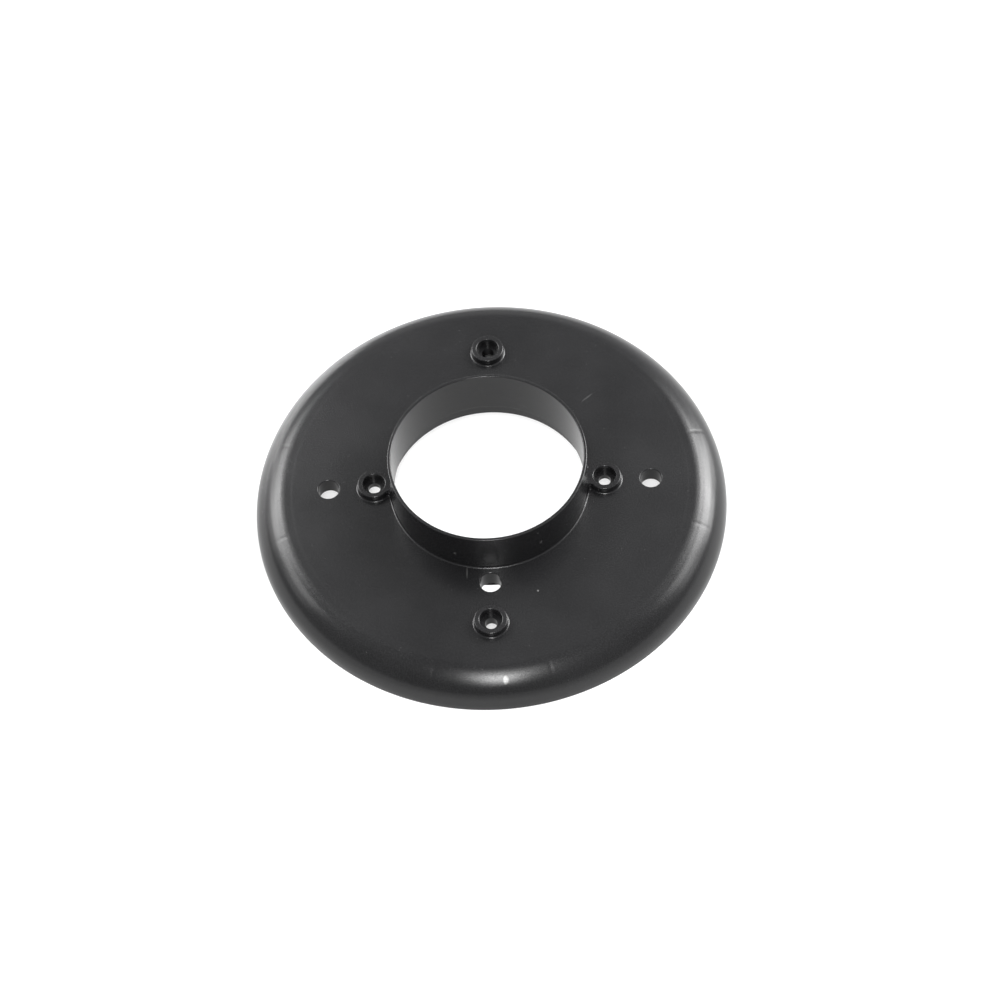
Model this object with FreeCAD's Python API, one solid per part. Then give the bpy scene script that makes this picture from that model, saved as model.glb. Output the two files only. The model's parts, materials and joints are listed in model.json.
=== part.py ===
import FreeCAD, Part
import math
import os

# End cover of a kitchen garbage disposal: one injection-moulded shell.
# A flat round plate rolls down into a rim at its edge. A thin collar stands up around a
# large bore. Four counterbored screw bosses stand on the plate, and four plain holes run
# through tubes under it. Millimetres, +Z up. The origin is on the bore's axis, level with
# the lower edge of the rim, which is the face that the cover rests on.
# The screw bosses lie on the X and Y axes.

# ---- overall sizes ----
cover_diameter = 206.0
cover_height = 16.2          # from the lower edge of the rim up to the top of the plate
plate_thickness = 3.2
rim_roll_width = 14.1        # how far in from the edge the plate starts to roll down
rim_wall = 2.6
rim_edge_round = 0.5

# ---- collar and bore ----
bore_diameter = 82.8
collar_wall = 1.4
collar_height = 21.7         # above the top of the plate
collar_lip_round = 0.35
collar_foot_round = 0.8

# ---- seat under the plate, around the bore ----
seat_gap = 1.0               # the seat is this much wider than the collar, all round
seat_wall = 2.0
seat_web = 1.1               # plate left above the seat, which carries the collar
seat_lead = 0.5
seat_depth = 9.6             # the seat ring ends this far under the plate's top
underside_depth = 7.9        # tubes and ribs end this far under the plate's top

# ---- screw bosses ----
screw_hole_diameter = 5.3
head_recess_diameter = 9.6
head_recess_depth = 4.0
boss_wall = 2.3              # around the head recess
boss_height = 3.4            # above the top of the plate
boss_lip_round = 0.4
boss_foot_round = 0.8
boss_to_collar_gap = 0.1     # the bosses on the inner circle all but touch the collar
neck_round = 1.0             # on each side of the neck that closes that gap
outer_pad_depth = 5.0        # pads under the outer bosses end this far under the plate's top
circle_spacing = 20.0        # from the inner circle of bosses and holes to the outer one

# ---- plain holes ----
plain_hole_diameter = 9.3
plain_hole_lead = 0.4
tube_wall = 2.0

# ---- ribs under the plate ----
rib_thickness = 1.6
rib_angle_from_axis = 15.0   # each half axis has a rib on either side of it
rib_end_overlap = 0.8        # how far the ribs run into the ring and the rim

clear = 1.0                  # how far cutters run past the faces that they cut

# ---- derived places ----
plate_top = cover_height
plate_underside = plate_top - plate_thickness
plate_middle = (plate_top + plate_underside) / 2
underside_level = plate_top - underside_depth
seat_level = plate_top - seat_depth
collar_top = plate_top + collar_height
cover_radius = cover_diameter / 2
rim_roll_start = cover_radius - rim_roll_width
bore_radius = bore_diameter / 2
collar_radius = bore_radius + collar_wall
seat_radius = collar_radius + seat_gap
seat_outer_radius = seat_radius + seat_wall
seat_roof = plate_top - seat_web
screw_hole_radius = screw_hole_diameter / 2
head_recess_radius = head_recess_diameter / 2
boss_radius = head_recess_radius + boss_wall
boss_top = plate_top + boss_height
inner_circle_radius = collar_radius + boss_to_collar_gap + boss_radius
outer_circle_radius = inner_circle_radius + circle_spacing
plain_hole_radius = plain_hole_diameter / 2
tube_radius = plain_hole_radius + tube_wall

# Bosses and plain holes alternate: on the X axis the bosses are on the inner circle and the
# holes on the outer one, and on the Y axis it is the other way round.
inner_boss_angles = (0, 180)
outer_boss_angles = (90, 270)


def vec(radius, level):
    """A point of a half section, which lies in the XZ plane."""
    return FreeCAD.Vector(radius, 0, level)


def line(start, end):
    return Part.makeLine(vec(*start), vec(*end))


def polyline(points):
    return [line(start, end) for start, end in zip(points, points[1:])]


def quarter_round(centre, radius, from_degrees, to_degrees):
    """An arc of a half section, given by its centre and the directions of its two ends."""
    points = []
    for degrees in (from_degrees, (from_degrees + to_degrees) / 2, to_degrees):
        turn = math.radians(degrees)
        across = centre[0] + radius * math.cos(turn)
        points.append(vec(across, centre[1] + radius * math.sin(turn)))
    return Part.Arc(*points).toShape()


def quarter_ellipse(centre_radius, centre_level, width, height):
    """The arc from straight above the centre, outwards and down to the level of the centre."""
    centre = vec(centre_radius, centre_level)
    crown = vec(centre_radius, centre_level + height)
    side = vec(centre_radius + width, centre_level)
    longer, shorter = (crown, side) if height > width else (side, crown)
    ellipse = Part.Ellipse(longer, shorter, centre)
    ends = sorted((ellipse.parameter(crown), ellipse.parameter(side)))
    if ends[1] - ends[0] > math.pi:
        ends = [ends[1], ends[0] + 2 * math.pi]
    return Part.ArcOfEllipse(ellipse, *ends).toShape()


def revolve(edges):
    """The solid that a closed half section makes around the Z axis."""
    outline = Part.Wire(Part.__sortEdges__(edges))
    return Part.Face(outline).revolve(FreeCAD.Vector(0, 0, 0), FreeCAD.Vector(0, 0, 1), 360)


def post(radius, bottom, top):
    return Part.makeCylinder(radius, top - bottom, FreeCAD.Vector(0, 0, bottom))


def placed(shape, circle_radius, degrees):
    """A copy of a feature made on the Z axis, moved out along X and turned to its place."""
    copy = shape.copy()
    copy.translate(FreeCAD.Vector(circle_radius, 0, 0))
    copy.rotate(FreeCAD.Vector(0, 0, 0), FreeCAD.Vector(0, 0, 1), degrees)
    return copy


def round_shell():
    """Plate, rolled rim, collar and seat ring, which are all round about the bore's axis."""
    rim_inside = cover_radius - rim_wall
    inner_roll_width = rim_inside - rim_roll_start
    foot_radius = collar_radius + collar_foot_round
    edges = [
        quarter_round((foot_radius, plate_top + collar_foot_round), collar_foot_round, 180, 270),
        line((foot_radius, plate_top), (rim_roll_start, plate_top)),
        quarter_ellipse(rim_roll_start, rim_edge_round, rim_roll_width, plate_top - rim_edge_round),
        quarter_round((cover_radius - rim_edge_round, rim_edge_round), rim_edge_round, 0, -90),
        line((cover_radius - rim_edge_round, 0), (rim_inside, 0)),
        line((rim_inside, 0), (rim_inside, rim_edge_round)),
        quarter_ellipse(rim_roll_start, rim_edge_round, inner_roll_width, plate_underside - rim_edge_round),
    ]
    edges += polyline([
        (rim_roll_start, plate_underside),
        (seat_outer_radius, plate_underside),
        (seat_outer_radius, seat_level),
        (seat_radius + seat_lead, seat_level),
        (seat_radius, seat_level + seat_lead),
        (seat_radius, seat_roof),
        (bore_radius, seat_roof),
        (bore_radius, collar_top - collar_lip_round),
    ])
    lip_inside = bore_radius + collar_lip_round
    lip_outside = collar_radius - collar_lip_round
    lip_level = collar_top - collar_lip_round
    edges += [
        quarter_round((lip_inside, lip_level), collar_lip_round, 180, 90),
        line((lip_inside, collar_top), (lip_outside, collar_top)),
        quarter_round((lip_outside, lip_level), collar_lip_round, 90, 0),
        line((collar_radius, lip_level), (collar_radius, plate_top + collar_foot_round)),
    ]
    return revolve(edges)


def screw_boss():
    """A post with a rounded top edge and a filleted foot. It starts inside the plate."""
    foot_radius = boss_radius + boss_foot_round
    edges = polyline([
        (0, boss_top),
        (0, plate_middle),
        (foot_radius, plate_middle),
        (foot_radius, plate_top),
    ])
    edges += [
        quarter_round((foot_radius, plate_top + boss_foot_round), boss_foot_round, 270, 180),
        line((boss_radius, plate_top + boss_foot_round), (boss_radius, boss_top - boss_lip_round)),
        quarter_round((boss_radius - boss_lip_round, boss_top - boss_lip_round), boss_lip_round, 0, 90),
        line((boss_radius - boss_lip_round, boss_top), (0, boss_top)),
    ]
    return revolve(edges)


def boss_neck():
    """Fills the gap between the collar and a boss on the inner circle, with a round on each side."""
    to_collar = collar_radius + neck_round
    to_boss = boss_radius + neck_round
    along = (to_collar ** 2 - to_boss ** 2 + inner_circle_radius ** 2) / (2 * inner_circle_radius)
    across = math.sqrt(to_collar ** 2 - along ** 2)
    on_collar = collar_radius / to_collar
    on_boss = boss_radius / to_boss
    collar_touch = (along * on_collar - collar_wall / 2, across * on_collar)
    boss_touch = (inner_circle_radius - (inner_circle_radius - along) * on_boss, across * on_boss)
    corners = [
        FreeCAD.Vector(collar_touch[0], collar_touch[1], plate_middle),
        FreeCAD.Vector(boss_touch[0], boss_touch[1], plate_middle),
        FreeCAD.Vector(boss_touch[0], -boss_touch[1], plate_middle),
        FreeCAD.Vector(collar_touch[0], -collar_touch[1], plate_middle),
    ]
    outline = Part.makePolygon(corners + corners[:1])
    block = Part.Face(outline).extrude(FreeCAD.Vector(0, 0, boss_top - plate_middle))
    for side in (-1, 1):
        scoop = post(neck_round, plate_middle, boss_top)
        scoop.translate(FreeCAD.Vector(along, side * across, 0))
        block = block.cut(scoop)
    return block


def rib():
    """A straight rib under the plate, from the seat ring out to the inside of the rim."""
    inner_end = seat_outer_radius - rib_end_overlap
    strip = Part.makeBox(
        cover_radius - inner_end,
        rib_thickness,
        plate_top - underside_level,
        FreeCAD.Vector(inner_end, -rib_thickness / 2, underside_level),
    )
    room_width = rim_roll_width - rim_wall + rib_end_overlap
    room_top = plate_underside + rib_end_overlap
    room_height = room_top - rim_edge_round
    room_edges = [quarter_ellipse(rim_roll_start, rim_edge_round, room_width, room_height)]
    room_edges += polyline([
        (rim_roll_start, room_top),
        (0, room_top),
        (0, rim_edge_round),
        (rim_roll_start + room_width, rim_edge_round),
    ])
    return strip.common(revolve(room_edges))


def hole_cutter(radius, bottom, top, lead):
    """A cutter whose mouth at the top flares out in a round."""
    edges = polyline([(0, bottom), (radius, bottom), (radius, top - lead)])
    edges.append(quarter_round((radius + lead, top - lead), lead, 180, 90))
    edges += polyline([
        (radius + lead, top),
        (radius + lead, top + clear),
        (0, top + clear),
        (0, bottom),
    ])
    return revolve(edges)


def cover_shell():
    added = []
    removed = []

    boss = screw_boss()
    neck = boss_neck()
    pad = post(boss_radius, plate_top - outer_pad_depth, plate_middle)
    recess = hole_cutter(head_recess_radius, boss_top - head_recess_depth, boss_top, boss_lip_round)
    screw_hole = post(screw_hole_radius, underside_level, boss_top)
    for degrees in inner_boss_angles:
        added += [placed(boss, inner_circle_radius, degrees), placed(neck, 0, degrees)]
        removed += [placed(cutter, inner_circle_radius, degrees) for cutter in (recess, screw_hole)]
    for degrees in outer_boss_angles:
        added += [placed(feature, outer_circle_radius, degrees) for feature in (boss, pad)]
        removed += [placed(cutter, outer_circle_radius, degrees) for cutter in (recess, screw_hole)]

    tube = post(tube_radius, underside_level, plate_middle)
    plain_hole = hole_cutter(plain_hole_radius, underside_level - clear, plate_top, plain_hole_lead)
    hole_places = [(inner_circle_radius, degrees) for degrees in outer_boss_angles]
    hole_places += [(outer_circle_radius, degrees) for degrees in inner_boss_angles]
    for circle_radius, degrees in hole_places:
        added.append(placed(tube, circle_radius, degrees))
        removed.append(placed(plain_hole, circle_radius, degrees))

    one_rib = rib()
    for degrees in inner_boss_angles + outer_boss_angles:
        for side in (-1, 1):
            added.append(placed(one_rib, 0, degrees + side * rib_angle_from_axis))

    # The tubes on the inner circle would bulge into the seat, so the seat is cleared last.
    removed.append(post(seat_radius, seat_level - clear, seat_roof))
    removed.append(post(bore_radius, seat_level - clear, boss_top))
    return round_shell().fuse(added).cut(removed).removeSplitter()


cover = cover_shell()
if not cover.isValid() or len(cover.Solids) != 1:
    raise ValueError("the cover is not one valid solid")

os.makedirs("parts", exist_ok=True)
cover.Solids[0].exportStep("parts/cover_shell.step")
box = cover.optimalBoundingBox(False, False)
size = (box.XLength, box.YLength, box.ZLength)
print("cover_shell %.1f x %.1f x %.1f mm" % size, "%.0f mm3" % cover.Volume)
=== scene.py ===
import bpy
import bmesh
import json
import math
from mathutils import Matrix, Vector


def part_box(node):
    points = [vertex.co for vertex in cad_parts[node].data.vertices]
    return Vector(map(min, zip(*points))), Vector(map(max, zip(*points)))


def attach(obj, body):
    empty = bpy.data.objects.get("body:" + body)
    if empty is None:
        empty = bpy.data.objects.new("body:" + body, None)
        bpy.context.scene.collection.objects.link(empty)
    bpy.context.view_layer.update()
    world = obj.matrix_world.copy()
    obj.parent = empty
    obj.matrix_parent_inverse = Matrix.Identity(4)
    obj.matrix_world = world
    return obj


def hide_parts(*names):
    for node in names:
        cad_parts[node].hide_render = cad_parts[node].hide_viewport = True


# The end cover of a kitchen garbage disposal, modelled in fine mesh around its CAD frame.
# The cover's sizes are in millimetres and MM turns them into metres. Distances of the camera,
# the floor and the lights are in metres. The cover stands on the floor at z = 0.

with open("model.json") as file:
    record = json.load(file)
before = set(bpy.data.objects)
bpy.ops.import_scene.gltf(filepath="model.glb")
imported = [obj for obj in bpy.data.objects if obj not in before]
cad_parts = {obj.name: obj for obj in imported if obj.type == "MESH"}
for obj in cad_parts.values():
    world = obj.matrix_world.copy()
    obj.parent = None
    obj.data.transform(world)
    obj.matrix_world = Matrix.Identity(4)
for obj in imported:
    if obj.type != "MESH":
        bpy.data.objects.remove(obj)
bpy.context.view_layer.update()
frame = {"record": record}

MM = 0.001
NODE = "cover_shell"

# ---- sizes that the frame gives ----
high_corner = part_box(NODE)[1]
mount_sizes = {mount["name"]: mount["dims"] for mount in frame["record"]["mounts"]}
cover_radius = high_corner.x / MM
collar_top = high_corner.z / MM
bore_radius = mount_sizes["collar_bore"]["r_mm"]
seat_radius = mount_sizes["seat"]["r_mm"]
screw_hole_radius = mount_sizes["inner_screws"]["hole_r_mm"]
plain_hole_radius = mount_sizes["inner_holes"]["hole_r_mm"]
inner_circle = mount_sizes["inner_screws"]["spacing_x_mm"] / 2
outer_circle = mount_sizes["outer_screws"]["spacing_y_mm"] / 2

# ---- plate and rolled rim ----
plate_top = 16.2
plate_thickness = 3.2
rim_roll_width = 14.1
rim_wall = 2.6
rim_edge_round = 0.5
inner_edge_round = 0.2
ring_mark_radius = 86.2      # a faint tool mark just inside the start of the roll
ring_mark_width = 1.3
ring_mark_depth = 0.02

# ---- collar and seat ----
collar_wall = 1.4
collar_lip_round = 0.35
collar_foot_round = 0.8
bore_edge_round = 0.3
seat_wall = 2.0
seat_web = 1.1
seat_lead = 0.5
small_round = 0.3
seat_depth = 9.6             # the seat ring ends this far under the plate's top
underside_depth = 7.9        # tubes and ribs end this far under the plate's top

# ---- screw bosses and plain holes ----
head_recess_radius = 4.8
head_recess_depth = 4.0
boss_wall = 2.3
boss_height = 3.4
boss_lip_round = 0.4
boss_foot_round = 0.8
neck_round = 1.0
outer_pad_depth = 5.0
plain_hole_lead = 0.4
tube_wall = 2.0
root_depth = 0.5             # features on the plate start this far inside it
clear = 1.0                  # how far cutters run past the faces that they cut

# ---- ribs, and the sink marks that they leave on the rim ----
rib_thickness = 1.6
rib_angle_from_axis = 15.0
rib_overlap = 0.8
sink_depth = 0.05
sink_half_width = 0.9
sink_reach = 11.0            # how far down the roll the marks are seen
sink_fade = 0.7              # a lower power holds the depth for longer towards both ends

# ---- a small moulding vestige on the front of the rim ----
vestige_angle = 273.4
vestige_height = 0.06
vestige_half_width = 0.55
vestige_start = 5.5          # outwards from the start of the roll
vestige_end = 11.5
vestige_tilt = 36            # the roll's tilt, in degrees, where the painted glint on the vestige is

# ---- derived levels and radii ----
underside = plate_top - plate_thickness
feature_bottom = plate_top - underside_depth
seat_level = plate_top - seat_depth
feature_root = plate_top - root_depth
rim_roll_start = cover_radius - rim_roll_width
rim_inside = cover_radius - rim_wall
roll_top = plate_top - ring_mark_depth
collar_radius = bore_radius + collar_wall
seat_outer_radius = seat_radius + seat_wall
seat_roof = plate_top - seat_web
boss_radius = head_recess_radius + boss_wall
boss_top = plate_top + boss_height
tube_radius = plain_hole_radius + tube_wall

HALF_AXES = (0, 90, 180, 270)
RIB_ANGLES = [axis + side * rib_angle_from_axis for axis in HALF_AXES for side in (-1, 1)]

ROUND_STEPS = 8              # per quarter of a small round
ROLL_STEPS = 44
POST_SEGMENTS = 96
SHARP_ANGLE = math.radians(32)
SINK_STEPS = (0.2, 0.4, 0.6, 0.8)          # degrees to each side of a mark
VESTIGE_STEPS = (0.1, 0.2, 0.4, 0.6, 0.8)
MERGE_DISTANCE = 0.002
SHORTEST_EDGE = 0.001


# ---- half sections ----

def arc(centre, radius, start, end, steps=ROUND_STEPS):
    """Points of a circular arc in a half section, both ends included, angles in degrees."""
    points = []
    for step in range(steps + 1):
        turn = math.radians(start + (end - start) * step / steps)
        points.append((centre[0] + radius * math.cos(turn), centre[1] + radius * math.sin(turn)))
    return points


def roll(start_radius, base, width, height, steps=ROLL_STEPS):
    """Points of a quarter ellipse from its crown outwards and down to its side."""
    points = []
    for step in range(steps + 1):
        turn = math.pi / 2 * step / steps
        points.append((start_radius + width * math.sin(turn), base + height * math.cos(turn)))
    return points


def ring_mark():
    """The plate drops by the depth of the tool mark in a smooth ramp."""
    points = []
    for step in range(ROUND_STEPS + 1):
        share = step / ROUND_STEPS
        across = ring_mark_radius + ring_mark_width * (share - 0.5)
        drop = ring_mark_depth * (1 - math.cos(math.pi * share)) / 2
        points.append((across, plate_top - drop))
    return points


def shell_section():
    """The closed half section of plate, rim, seat ring and collar."""
    foot = (collar_radius + collar_foot_round, plate_top + collar_foot_round)
    points = arc(foot, collar_foot_round, 180, 270)
    points += ring_mark()
    points += roll(rim_roll_start, rim_edge_round, rim_roll_width, roll_top - rim_edge_round)
    points += arc((cover_radius - rim_edge_round, rim_edge_round), rim_edge_round, 0, -90)[1:]
    points += arc((rim_inside + inner_edge_round, inner_edge_round), inner_edge_round, -90, -180)
    inner_width = rim_inside - rim_roll_start
    points += reversed(roll(rim_roll_start, rim_edge_round, inner_width, underside - rim_edge_round))
    points += arc((seat_outer_radius + small_round, underside - small_round), small_round, 90, 180)
    points += arc((seat_outer_radius - small_round, seat_level + small_round), small_round, 0, -90)
    points += [(seat_radius + seat_lead, seat_level), (seat_radius, seat_level + seat_lead)]
    points += arc((seat_radius - small_round, seat_roof - small_round), small_round, 0, 90)
    points += arc((bore_radius + bore_edge_round, seat_roof + bore_edge_round), bore_edge_round, 270, 180)
    lip_level = collar_top - collar_lip_round
    points += arc((bore_radius + collar_lip_round, lip_level), collar_lip_round, 180, 90)
    points += arc((collar_radius - collar_lip_round, lip_level), collar_lip_round, 90, 0)
    return points


# ---- meshes ----

def new_object(name, bm):
    """Ends a bmesh that was built in millimetres and gives an object in metres."""
    bmesh.ops.recalc_face_normals(bm, faces=bm.faces)
    bmesh.ops.scale(bm, vec=(MM, MM, MM), verts=bm.verts)
    mesh = bpy.data.meshes.new(name)
    bm.to_mesh(mesh)
    bm.free()
    made = bpy.data.objects.new(name, mesh)
    bpy.context.scene.collection.objects.link(made)
    return made


def angle_difference(one, other):
    return (one - other + 180) % 360 - 180


def shell_angles():
    """Whole degrees, with closer steps across each sink mark and the vestige."""
    angles = set(float(degree) for degree in range(360))
    for side in (-1, 1):
        for rib_angle in RIB_ANGLES:
            for step in SINK_STEPS:
                angles.add(round((rib_angle + side * step) % 360, 3))
        for step in VESTIGE_STEPS:
            angles.add(round(vestige_angle + side * step, 3))
    return sorted(angles)


def relief(across, level, angle):
    """How far a point of the rim's outside lies below the plain roll: sink marks less the vestige."""
    along = (across - rim_roll_start) / sink_reach
    if not 0 < along < 1 or level < plate_top / 2:
        return 0.0
    depth = 0.0
    for rib_angle in RIB_ANGLES:
        offset = math.radians(angle_difference(angle, rib_angle)) * across / sink_half_width
        depth += sink_depth * math.exp(-offset * offset)
    return depth * math.sin(math.pi * along) ** sink_fade - vestige(across, angle)


def vestige(across, angle):
    """The height of the small raised mark at a point of the rim's outside."""
    along = (across - rim_roll_start - vestige_start) / (vestige_end - vestige_start)
    if not 0 < along < 1:
        return 0.0
    offset = math.radians(angle_difference(angle, vestige_angle)) * across / vestige_half_width
    return vestige_height * math.exp(-offset * offset) * math.sin(math.pi * along)


def make_shell():
    """The half section carried round the axis, lowered or raised by the marks on the rim."""
    bm = bmesh.new()
    section = shell_section()
    rings = []
    for angle in shell_angles():
        turn = math.radians(angle)
        ring = []
        for across, level in section:
            height = level - relief(across, level, angle)
            ring.append(bm.verts.new((across * math.cos(turn), across * math.sin(turn), height)))
        rings.append(ring)
    for this, after in zip(rings, rings[1:] + rings[:1]):
        for step in range(len(section)):
            following = (step + 1) % len(section)
            bm.faces.new((this[step], this[following], after[following], after[step]))
    return new_object("shell", bm)


def add_post(bm, section, centre=(0, 0)):
    """A solid of revolution about an upright axis, from a section that runs bottom to top."""
    rings = []
    for across, level in section:
        ring = []
        for step in range(POST_SEGMENTS):
            turn = 2 * math.pi * step / POST_SEGMENTS
            place = (centre[0] + across * math.cos(turn), centre[1] + across * math.sin(turn), level)
            ring.append(bm.verts.new(place))
        rings.append(ring)
    for lower, upper in zip(rings, rings[1:]):
        for step in range(POST_SEGMENTS):
            following = (step + 1) % POST_SEGMENTS
            bm.faces.new((lower[step], lower[following], upper[following], upper[step]))
    bm.faces.new(rings[0])
    bm.faces.new(rings[-1])


def add_prism(bm, outline, direction):
    """A flat outline of points, pushed through by a vector."""
    first = [bm.verts.new(point) for point in outline]
    second = [bm.verts.new(Vector(point) + Vector(direction)) for point in outline]
    bm.faces.new(first)
    bm.faces.new(second)
    for step in range(len(outline)):
        following = (step + 1) % len(outline)
        bm.faces.new((first[step], first[following], second[following], second[step]))


def apply_modifiers(piece):
    """Makes the mesh that the modifiers give the piece's own."""
    depsgraph = bpy.context.evaluated_depsgraph_get()
    mesh = bpy.data.meshes.new_from_object(piece.evaluated_get(depsgraph))
    piece.modifiers.clear()
    piece.data = mesh


def combine(target, tool, operation):
    """Joins a tool to the target or cuts it out, and removes the tool."""
    modifier = target.modifiers.new("combine", "BOOLEAN")
    modifier.object = tool
    modifier.operation = operation
    modifier.solver = "EXACT"
    apply_modifiers(target)
    bpy.data.objects.remove(tool)


def on_axis(circle, degrees):
    turn = math.radians(degrees)
    return circle * math.cos(turn), circle * math.sin(turn)


def boss_section(bottom):
    """A boss's outside with a filleted foot, on a pad if its bottom is under the plate."""
    foot_radius = boss_radius + boss_foot_round
    points = []
    if bottom < feature_root:
        points = [(boss_radius, bottom), (boss_radius, feature_root)]
    points.append((foot_radius, feature_root))
    points += reversed(arc((foot_radius, plate_top + boss_foot_round), boss_foot_round, 180, 270))
    points += arc((boss_radius - boss_lip_round, boss_top - boss_lip_round), boss_lip_round, 0, 90)
    return points


def make_bosses():
    """All four screw bosses, and the tubes under the plain holes on the outer circle."""
    bm = bmesh.new()
    for degrees in (0, 180):
        add_post(bm, boss_section(feature_root), on_axis(inner_circle, degrees))
    for degrees in (90, 270):
        add_post(bm, boss_section(plate_top - outer_pad_depth), on_axis(outer_circle, degrees))
    for degrees in (0, 180):
        add_post(bm, tube_section(), on_axis(outer_circle, degrees))
    return new_object("bosses", bm)


def tube_section():
    """A tube's outside, with a small round at its lower end."""
    end_round = arc((tube_radius - small_round, feature_bottom + small_round), small_round, 0, -90)
    points = list(reversed(end_round))
    points.append((tube_radius, feature_root))
    return points


def make_inner_tubes():
    """The tubes on the inner circle, cut off inside the wall of the seat ring that they run into."""
    bm = bmesh.new()
    for degrees in (90, 270):
        add_post(bm, tube_section(), on_axis(inner_circle, degrees))
    tubes = new_object("inner_tubes", bm)
    bm = bmesh.new()
    middle_of_wall = seat_radius + seat_wall / 2
    add_post(bm, [(middle_of_wall, feature_bottom - clear), (middle_of_wall, plate_top)])
    combine(tubes, new_object("seat_room", bm), "DIFFERENCE")
    return tubes


def make_necks():
    """Each fills the gap between the collar and a boss on the inner circle, between two rounds."""
    to_collar = collar_radius + neck_round
    to_boss = boss_radius + neck_round
    along = (to_collar ** 2 - to_boss ** 2 + inner_circle ** 2) / (2 * inner_circle)
    across = math.sqrt(to_collar ** 2 - along ** 2)
    centre = (along, -across)
    at_collar = math.degrees(math.atan2(across, -along))
    at_boss = math.degrees(math.atan2(across, inner_circle - along))
    lower_side = arc(centre, neck_round, at_collar, at_boss, 2 * ROUND_STEPS)
    start = lower_side[0][0] - collar_wall / 2
    end = lower_side[-1][0] + boss_wall / 2
    side = [(start, lower_side[0][1])] + lower_side + [(end, lower_side[-1][1])]
    outline = side + [(x, -y) for x, y in reversed(side)]
    bm = bmesh.new()
    for sign in (1, -1):
        add_prism(bm, [(sign * x, y, feature_root) for x, y in outline], (0, 0, boss_top - feature_root))
    return new_object("necks", bm)


def make_ribs():
    """Eight straight ribs under the plate, from the seat ring to the inside of the rim."""
    inner_end = seat_outer_radius - rib_overlap
    width = rim_inside - rim_roll_start + rib_overlap
    height = underside - rim_edge_round + rib_overlap
    turn = math.acos((feature_bottom - rim_edge_round) / height)
    outer_side = []
    for step in range(ROLL_STEPS + 1):
        part = turn * step / ROLL_STEPS
        outer_side.append((rim_roll_start + width * math.sin(part), rim_edge_round + height * math.cos(part)))
    outline = [(inner_end, outer_side[0][1])] + outer_side + [(inner_end, feature_bottom)]
    bm = bmesh.new()
    for angle in RIB_ANGLES:
        forward = Vector((*on_axis(1, angle), 0))
        sideways = Vector((-forward.y, forward.x, 0))
        points = []
        for across, level in outline:
            points.append(forward * across - sideways * rib_thickness / 2 + Vector((0, 0, level)))
        add_prism(bm, points, sideways * rib_thickness)
    return new_object("ribs", bm)


def screw_cutter():
    """Screw hole, head recess and the round at the recess's mouth."""
    mouth = head_recess_radius + boss_lip_round
    recess_floor = boss_top - head_recess_depth
    points = [(screw_hole_radius, feature_bottom - clear), (screw_hole_radius, recess_floor)]
    points.append((head_recess_radius, recess_floor))
    points += arc((mouth, boss_top - boss_lip_round), boss_lip_round, 180, 90)
    points.append((mouth, boss_top + clear))
    return points


def plain_cutter():
    """A plain hole and the round at its mouth."""
    mouth = plain_hole_radius + plain_hole_lead
    points = [(plain_hole_radius, feature_bottom - clear)]
    points += arc((mouth, plate_top - plain_hole_lead), plain_hole_lead, 180, 90)
    points.append((mouth, plate_top + clear))
    return points


def make_cutters():
    bm = bmesh.new()
    for degrees in (0, 180):
        add_post(bm, screw_cutter(), on_axis(inner_circle, degrees))
        add_post(bm, plain_cutter(), on_axis(outer_circle, degrees))
    for degrees in (90, 270):
        add_post(bm, screw_cutter(), on_axis(outer_circle, degrees))
        add_post(bm, plain_cutter(), on_axis(inner_circle, degrees))
    return new_object("cutters", bm)


def smooth_shading(piece):
    """Smooth faces, sharp edges by angle, and normals weighted by the faces' areas."""
    bm = bmesh.new()
    bm.from_mesh(piece.data)
    bmesh.ops.remove_doubles(bm, verts=bm.verts, dist=MERGE_DISTANCE * MM)
    bmesh.ops.dissolve_degenerate(bm, edges=bm.edges, dist=SHORTEST_EDGE * MM)
    for face in bm.faces:
        face.smooth = True
    for edge in bm.edges:
        edge.smooth = edge.is_manifold and edge.calc_face_angle(math.pi) < SHARP_ANGLE
    bm.to_mesh(piece.data)
    bm.free()
    modifier = piece.modifiers.new("normals", "WEIGHTED_NORMAL")
    modifier.keep_sharp = True
    apply_modifiers(piece)


def make_cover():
    cover = make_shell()
    for make_tool in (make_bosses, make_inner_tubes, make_necks, make_ribs):
        combine(cover, make_tool(), "UNION")
    combine(cover, make_cutters(), "DIFFERENCE")
    smooth_shading(cover)
    cover.name = "cover"
    cover.data.name = "cover"
    return cover


# ---- camera ----
LENS = 102.7
SENSOR_WIDTH = 36.0
CAMERA_DISTANCE = 1.23735
CAMERA_ELEVATION = math.radians(56.989)
CAMERA_ROLL = math.radians(-4.9)
CAMERA_TURN = math.radians(3.386)
CAMERA_OFFSET = (4.604 * MM, -7.104 * MM)

# ---- plastic: pattern sizes in millimetres, and colours ----
PLASTIC_IOR = 1.34
PLASTIC_ROUGHNESS = 0.23
CLOUD_SIZE = 38
FLOW_SIZE = 9
MOTTLE_SIZE = 2.6
GRAIN_SIZE = 0.45
GRAIN_BUMP = (0.012, 0.5)    # each bump is its depth and its strength
FLOW_BUMP = (0.05, 0.25)
MOTTLE_BUMP = (0.02, 0.45)
DUST = (9, 0.3, 0.3)         # spacing, radius, and the share of cells that have a speck
FINE_DUST = (3.5, 0.2, 0.45)
DUST_COVER = 0.5             # how much of the plastic's colour a speck hides
DUST_ROUGHNESS = 0.8
DARK_TONE = (0.004, 0.004, 0.0043, 1)
LIGHT_TONE = (0.0065, 0.0065, 0.0069, 1)
GRAIN_TONE = (0.014, 0.014, 0.0147, 1)
FINE_DUST_TONE = (0.1, 0.1, 0.099, 1)
DUST_TONE = (0.16, 0.16, 0.158, 1)
# pale tone of the small marks, and of the painted glint on the rim's vestige
PALE_MARK_AND_GLINT_TONE = (0.35, 0.35, 0.345, 1)

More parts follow.
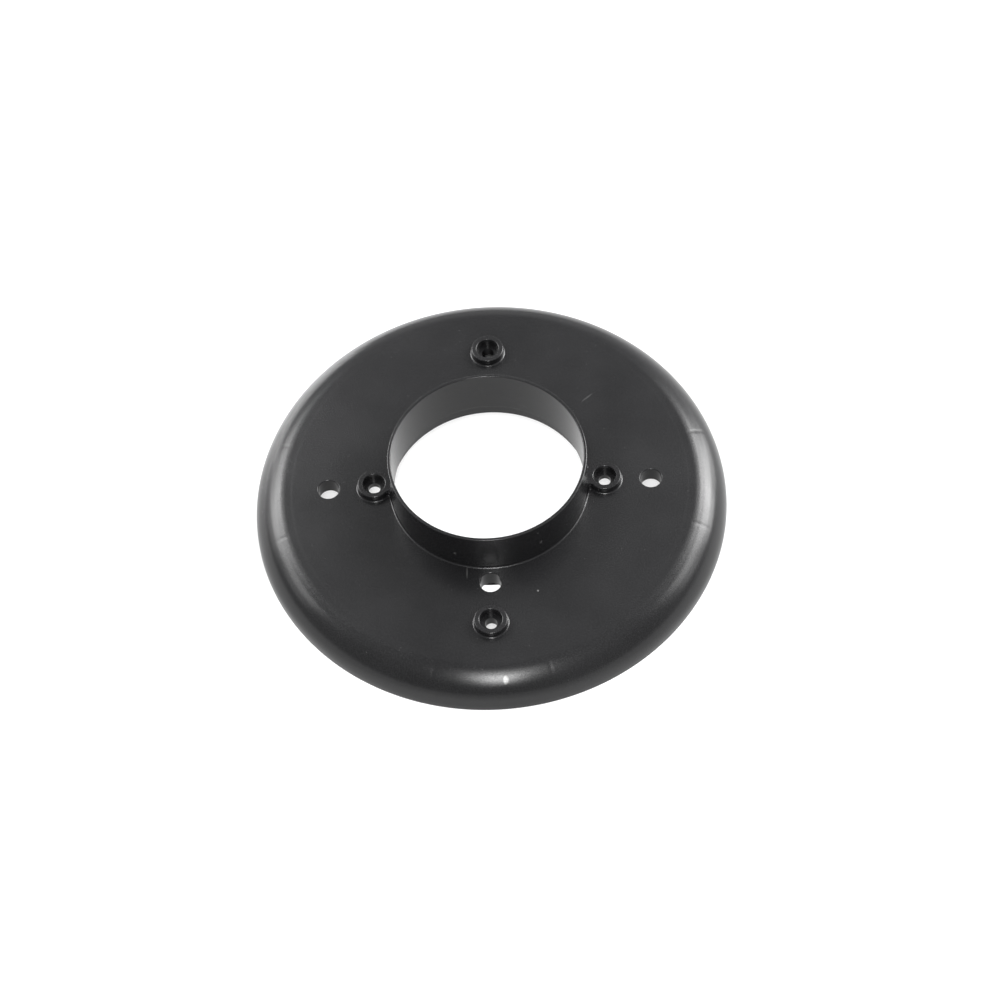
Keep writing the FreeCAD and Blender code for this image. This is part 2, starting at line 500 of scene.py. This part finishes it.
# ---- floor: it glows under the cover, and a little all round ----
FLOOR_TONE = 0.4
FLOOR_ROUGHNESS = 0.9
FLOOR_HALF = 3.0
FLOOR_GLOW = 0.14            # evens out the lights over the whole floor
FLOOR_GLOW_FADE = (92 * MM, 106 * MM)
FLOOR_GLOW_UNDER = 0.64
UNDER_GLOW_CENTRE = (0, -35 * MM, 0)
UNDER_GLOW_FADE = (86 * MM, 104 * MM)

# ---- lights ----
WORLD_STRENGTH = 0.6
BACKDROP_POWER = 1.6
BACKDROP_PLACE = (-0.2, 0.17, 0.35)
BACKDROP_SIZE = 0.1
BACKDROP_SPREAD = math.radians(50)
SIGHT_LINE = (0, -0.545, 0.8387)     # from the cover to the camera
TILT_STEP = 3                # finds which way a reflection moves as the tilt changes

# Panels behind the cover: direction, sideways axis, distance, width and height in degrees, and
# brightness.
BACK_LEFT_PANEL = ((-0.65, 0.85, 0.12), (1, 0.6, 0), 0.8, 30, 12, 5.0)
BACK_PANEL = ((0, 0.93, 0.33), (1, 0, 0), 1.5, 90, 22, 0.5)
BACK_RIGHT_PANEL = ((0.6, 0.9, 0.12), (1, -0.6, 0), 0.8, 30, 12, 1.0)

# Width and height of a soft box in degrees, and its distance.
SIDE_BOX = (18, 15, 1.2)
FRONT_BOX = (13, 8, 1.5)

# Soft boxes: the rim's angle and tilt in degrees where each reflection shows, and brightness.
EAST_BOXES = ((4, 11, 6), (6, 18, 16), (2, 28, 16), (10, 30, 4), (6, 38, 7), (-10, 18, 12), (-11, 28, 23),
              (-11, 38, 14), (-28, 28, 8), (-28, 38, 4))
WEST_BOXES = ((176, 11, 5), (174, 18, 12), (176, 28, 6), (174, 38, 1.5), (190, 18, 11), (190, 28, 14),
              (190, 38, 3), (208, 28, 6), (208, 38, 2))
FRONT_BOXES = ((270, 22, 6), (270, 27, 21), (270, 32, 42), (270, 37, 33), (270, 42, 12))


def make_camera():
    """Stands where the photograph was taken from and frames it the same way."""
    back = Vector((0, -math.cos(CAMERA_ELEVATION), math.sin(CAMERA_ELEVATION)))
    right = Vector((1, 0, 0))
    up = back.cross(right)
    rolled_right = math.cos(CAMERA_ROLL) * right + math.sin(CAMERA_ROLL) * up
    rolled_up = math.cos(CAMERA_ROLL) * up - math.sin(CAMERA_ROLL) * right
    place = back * CAMERA_DISTANCE + rolled_right * CAMERA_OFFSET[0] + rolled_up * CAMERA_OFFSET[1]
    axes = Matrix((rolled_right, rolled_up, back)).transposed().to_4x4()
    axes.translation = place + Vector((0, 0, plate_top * MM))
    data = bpy.data.cameras.new("camera")
    data.lens = LENS
    data.sensor_width = SENSOR_WIDTH
    camera = bpy.data.objects.new("camera", data)
    camera.matrix_world = Matrix.Rotation(CAMERA_TURN, 4, "Z") @ axes
    bpy.context.scene.collection.objects.link(camera)
    bpy.context.scene.camera = camera


# ---- materials ----

class Nodes:
    """A material's node tree, with short calls for the nodes that are used here."""

    def __init__(self, name):
        self.material = bpy.data.materials.new(name)
        self.material.use_nodes = True
        self.tree = self.material.node_tree
        self.shader = self.tree.nodes["Principled BSDF"]

    def plug(self, value, socket):
        if isinstance(value, bpy.types.NodeSocket):
            self.tree.links.new(value, socket)
        else:
            socket.default_value = value

    def place(self):
        return self.tree.nodes.new("ShaderNodeTexCoord").outputs["Object"]

    def noise(self, place, size, detail=2.0, roughness=0.5):
        """Noise whose features are about size millimetres across."""
        node = self.tree.nodes.new("ShaderNodeTexNoise")
        node.inputs["Scale"].default_value = 1 / (size * MM)
        node.inputs["Detail"].default_value = detail
        node.inputs["Roughness"].default_value = roughness
        self.plug(place, node.inputs["Vector"])
        return node.outputs["Fac"]

    def specks(self, place, spacing, radius, share):
        """1 inside scattered round specks, of which a share of the cells has one."""
        node = self.tree.nodes.new("ShaderNodeTexVoronoi")
        node.inputs["Scale"].default_value = 1 / (spacing * MM)
        self.plug(place, node.inputs["Vector"])
        near = self.ramp(node.outputs["Distance"], 0.5 * radius / spacing, radius / spacing, 1, 0)
        chosen = self.ramp(node.outputs["Color"], 1 - share, 1 - share + 0.01, 0, 1)
        return self.math("MULTIPLY", near, chosen)

    def spot(self, place, centre, radii, turn):
        """1 inside a small ellipsoid with a soft edge."""
        node = self.tree.nodes.new("ShaderNodeMapping")
        node.vector_type = "TEXTURE"
        node.inputs["Location"].default_value = centre * MM
        node.inputs["Rotation"].default_value = (0, 0, math.radians(turn))
        node.inputs["Scale"].default_value = Vector(radii) * MM
        self.plug(place, node.inputs["Vector"])
        away = self.vector("LENGTH", node.outputs["Vector"], (0, 0, 0)).outputs["Value"]
        return self.ramp(away, 0.3, 1, 1, 0, "SMOOTHSTEP")

    def math(self, operation, first, second=0.0):
        node = self.tree.nodes.new("ShaderNodeMath")
        node.operation = operation
        self.plug(first, node.inputs[0])
        self.plug(second, node.inputs[1])
        return node.outputs[0]

    def vector(self, operation, first, second):
        node = self.tree.nodes.new("ShaderNodeVectorMath")
        node.operation = operation
        self.plug(first, node.inputs[0])
        self.plug(second, node.inputs[1])
        return node

    def ramp(self, value, low, high, to_low, to_high, kind="LINEAR"):
        node = self.tree.nodes.new("ShaderNodeMapRange")
        node.interpolation_type = kind
        self.plug(value, node.inputs["Value"])
        for name, number in (("From Min", low), ("From Max", high), ("To Min", to_low), ("To Max", to_high)):
            node.inputs[name].default_value = number
        return node.outputs["Result"]

    def blend(self, share, first, second):
        """Mixes two colours or colour sockets."""
        node = self.tree.nodes.new("ShaderNodeMix")
        node.data_type = "RGBA"
        self.plug(share, node.inputs[0])
        self.plug(first, node.inputs[6])
        self.plug(second, node.inputs[7])
        return node.outputs[2]

    def bump(self, height, distance, strength, normal=None):
        node = self.tree.nodes.new("ShaderNodeBump")
        node.inputs["Distance"].default_value = distance * MM
        node.inputs["Strength"].default_value = strength
        self.plug(height, node.inputs["Height"])
        if normal:
            self.plug(normal, node.inputs["Normal"])
        return node.outputs["Normal"]


def pale_marks_and_glint():
    """Small pale marks, and a painted glint on the rim's vestige: centre and radii in millimetres, turn in
    degrees, and strength.
    """
    # The first mark is a painted highlight: a pale glint where the vestige catches the front light.
    front = rim_point(vestige_angle, vestige_tilt) / MM + Vector((0, 0, plate_top))
    marks = [(front, (2.3, 1.6, 2.3), vestige_angle, 1.0)]
    # The others are small pale spots and streaks on the plate and on the collar's wall.
    marks.append((Vector((43.6, 43.6, plate_top)), (4.2, 0.5, 1.0), 41, 0.06))
    marks.append((Vector((20, -55, plate_top)), (0.6, 0.6, 0.6), 0, 0.3))
    marks.append((Vector((-10, -44.8, plate_top)), (0.5, 3.8, 1.0), 0, 0.08))
    for angle, level in ((250, 8.5), (301, 9.5)):
        wall = Vector((*on_axis(collar_radius, angle), plate_top + level))
        marks.append((wall, (0.7, 0.9, 1.4), angle, 0.12))
    return marks


def make_plastic():
    """Satin black moulded plastic with a fine mould texture, a little dust, small pale marks and a painted
    glint on the rim's vestige.
    """
    nodes = Nodes("black_plastic")
    place = nodes.place()
    shader = nodes.shader
    shader.inputs["IOR"].default_value = PLASTIC_IOR
    clouds = nodes.noise(place, CLOUD_SIZE, 3)
    grain = nodes.noise(place, GRAIN_SIZE, 2)
    flow = nodes.noise(place, FLOW_SIZE, 2)
    dust = nodes.specks(place, *DUST)
    fine_dust = nodes.specks(place, *FINE_DUST)
    tone = nodes.blend(nodes.ramp(clouds, 0.3, 0.7, 0, 1), DARK_TONE, LIGHT_TONE)
    tone = nodes.blend(nodes.ramp(grain, 0.4, 0.75, 0, 0.6), tone, GRAIN_TONE)
    tone = nodes.blend(nodes.math("MULTIPLY", fine_dust, DUST_COVER), tone, FINE_DUST_TONE)
    tone = nodes.blend(nodes.math("MULTIPLY", dust, DUST_COVER), tone, DUST_TONE)
    # Pale marks, one of them a painted glint on the rim's vestige, laid over the tone.
    for centre, radii, turn, strength in pale_marks_and_glint():
        mark = nodes.spot(place, centre, radii, turn)
        uneven = nodes.ramp(grain, 0.35, 0.6, 0.5 * strength, strength)
        tone = nodes.blend(nodes.math("MULTIPLY", mark, uneven), tone, PALE_MARK_AND_GLINT_TONE)
    nodes.plug(tone, shader.inputs["Base Color"])
    rough = nodes.ramp(clouds, 0.3, 0.7, PLASTIC_ROUGHNESS - 0.025, PLASTIC_ROUGHNESS + 0.03)
    rough = nodes.math("ADD", rough, nodes.ramp(grain, 0.3, 0.7, -0.015, 0.02))
    rough = nodes.math("MAXIMUM", rough, nodes.math("MULTIPLY", dust, DUST_ROUGHNESS))
    nodes.plug(rough, shader.inputs["Roughness"])
    normal = nodes.bump(grain, *GRAIN_BUMP)
    normal = nodes.bump(flow, *FLOW_BUMP, normal)
    mottle = nodes.noise(place, MOTTLE_SIZE, 3, 0.6)
    normal = nodes.bump(mottle, *MOTTLE_BUMP, normal)
    nodes.plug(normal, shader.inputs["Normal"])
    return nodes.material


def make_floor():
    """A plain pale sheet. It glows a little under the cover, where the cover keeps the light off it."""
    nodes = Nodes("floor")
    shader = nodes.shader
    shader.inputs["Base Color"].default_value = (FLOOR_TONE, FLOOR_TONE, FLOOR_TONE, 1)
    shader.inputs["Roughness"].default_value = FLOOR_ROUGHNESS
    shader.inputs["Specular IOR Level"].default_value = 0.0
    shader.inputs["Emission Color"].default_value = (1, 1, 1, 1)
    place = nodes.place()
    from_glow = nodes.vector("DISTANCE", place, UNDER_GLOW_CENTRE).outputs["Value"]
    from_axis = nodes.vector("LENGTH", place, (0, 0, 0)).outputs["Value"]
    under = nodes.ramp(from_glow, *UNDER_GLOW_FADE, FLOOR_GLOW_UNDER, 0, "SMOOTHSTEP")
    around = nodes.ramp(from_axis, *FLOOR_GLOW_FADE, 0, FLOOR_GLOW, "SMOOTHSTEP")
    glow = nodes.math("MAXIMUM", under, around)
    nodes.plug(glow, shader.inputs["Emission Strength"])
    mesh = bpy.data.meshes.new("floor")
    signs = ((-1, -1), (1, -1), (1, 1), (-1, 1))
    corners = [(x * FLOOR_HALF, y * FLOOR_HALF, 0) for x, y in signs]
    mesh.from_pydata(corners, [], [(0, 1, 2, 3)])
    mesh.materials.append(nodes.material)
    floor = bpy.data.objects.new("floor", mesh)
    bpy.context.scene.collection.objects.link(floor)


# ---- lights ----

def place_light(name, direction, sideways, distance, width_degrees, height_degrees, radiance):
    """A soft box seen from the cover under the given angles, as bright as radiance all over."""
    to_light = Vector(direction).normalized()
    across = Vector(sideways)
    across = (across - to_light * across.dot(to_light)).normalized()
    along = to_light.cross(across)
    data = bpy.data.lights.new(name, "AREA")
    data.shape = "RECTANGLE"
    data.size = 2 * distance * math.tan(math.radians(width_degrees / 2))
    data.size_y = 2 * distance * math.tan(math.radians(height_degrees / 2))
    data.energy = radiance * math.pi * data.size * data.size_y
    light = bpy.data.objects.new(name, data)
    axes = Matrix((across, along, to_light)).transposed().to_4x4()
    axes.translation = to_light * distance + Vector((0, 0, plate_top * MM))
    light.matrix_world = axes
    bpy.context.scene.collection.objects.link(light)


def mirrored(angle, tilt):
    """The way from the camera's sight line, mirrored by the rim's roll at an angle and a tilt."""
    around = math.radians(angle)
    over = math.radians(tilt)
    outwards = math.sin(over)
    normal = Vector((outwards * math.cos(around), outwards * math.sin(around), math.cos(over)))
    sight = Vector(SIGHT_LINE)
    return 2 * normal.dot(sight) * normal - sight


def rim_point(angle, tilt):
    """Where on the roll the surface has this tilt, measured from the plate's top at the axis."""
    over = math.radians(tilt)
    part = math.atan2(rim_roll_width * math.sin(over), plate_top * math.cos(over))
    across = rim_roll_start + rim_roll_width * math.sin(part)
    level = plate_top * (math.cos(part) - 1)
    around = math.radians(angle)
    return Vector((across * math.cos(around), across * math.sin(around), level)) * MM


def rim_light(name, angle, tilt, width_degrees, height_degrees, distance, radiance):
    """A soft box whose reflection shows on the rim at an angle and a tilt."""
    place = rim_point(angle, tilt) + mirrored(angle, tilt) * distance
    sideways = mirrored(angle, tilt + TILT_STEP) - mirrored(angle, tilt - TILT_STEP)
    place_light(name, place, sideways, place.length, width_degrees, height_degrees, radiance)


def backdrop_light():
    """Lights the floor behind the cover on the left, which the back of the rim mirrors."""
    data = bpy.data.lights.new("backdrop", "AREA")
    data.size = BACKDROP_SIZE
    data.spread = BACKDROP_SPREAD
    data.energy = BACKDROP_POWER
    light = bpy.data.objects.new("backdrop", data)
    light.location = BACKDROP_PLACE
    bpy.context.scene.collection.objects.link(light)


def make_lights():
    rows = (("east", EAST_BOXES, SIDE_BOX), ("west", WEST_BOXES, SIDE_BOX), ("front", FRONT_BOXES, FRONT_BOX))
    for row, reflections, size in rows:
        for number, (angle, tilt, radiance) in enumerate(reflections):
            rim_light("%s_%d" % (row, number), angle, tilt, *size, radiance)
    place_light("back_left", *BACK_LEFT_PANEL)
    place_light("back", *BACK_PANEL)
    backdrop_light()
    place_light("back_right", *BACK_RIGHT_PANEL)


def make_world():
    """Even white light from all round."""
    world = bpy.data.worlds.new("world")
    world.use_nodes = True
    background = world.node_tree.nodes["Background"]
    background.inputs["Color"].default_value = (1, 1, 1, 1)
    background.inputs["Strength"].default_value = WORLD_STRENGTH
    bpy.context.scene.world = world
    bpy.context.scene.view_settings.view_transform = "Standard"


make_camera()
make_floor()
cover = make_cover()
cover.data.materials.append(make_plastic())
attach(cover, "root")
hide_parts(NODE)
make_lights()
make_world()
